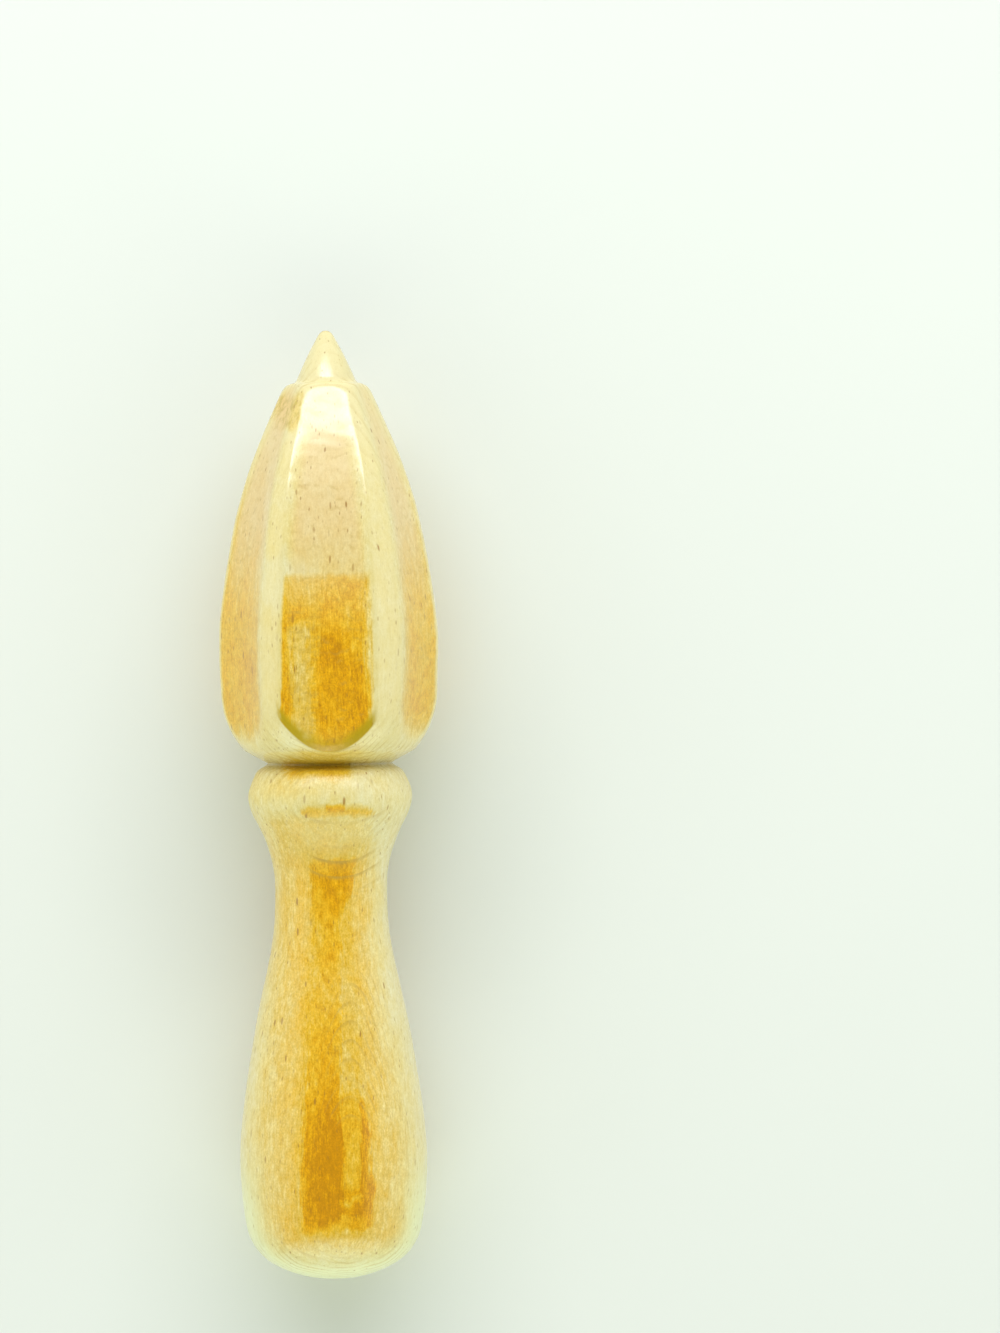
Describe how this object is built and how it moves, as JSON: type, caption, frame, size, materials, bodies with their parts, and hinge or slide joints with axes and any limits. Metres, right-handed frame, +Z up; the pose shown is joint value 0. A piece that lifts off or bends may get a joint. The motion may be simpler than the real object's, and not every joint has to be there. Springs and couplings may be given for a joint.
{
  "type": "citrus reamer",
  "caption": "Turned wooden hand reamer: pointed tip, ogival fluted head, narrow groove and rounded ring, slim neck and swelling handle with a domed butt.",
  "frame": {"origin": "middle of the reamer's footprint as it lies on its side, on the surface it lies on", "axes": "+Z up, +Y along the reamer towards its tip, with one flute facing up and one down"},
  "size_m": [0.037, 0.16, 0.0337],
  "materials": {
    "beech": "bare sanded pale hardwood with fine grain and short dark ray flecks"
  },
  "bodies": {
    "root": {"citrus_reamer": "beech"}
  },
  "joints": []
}
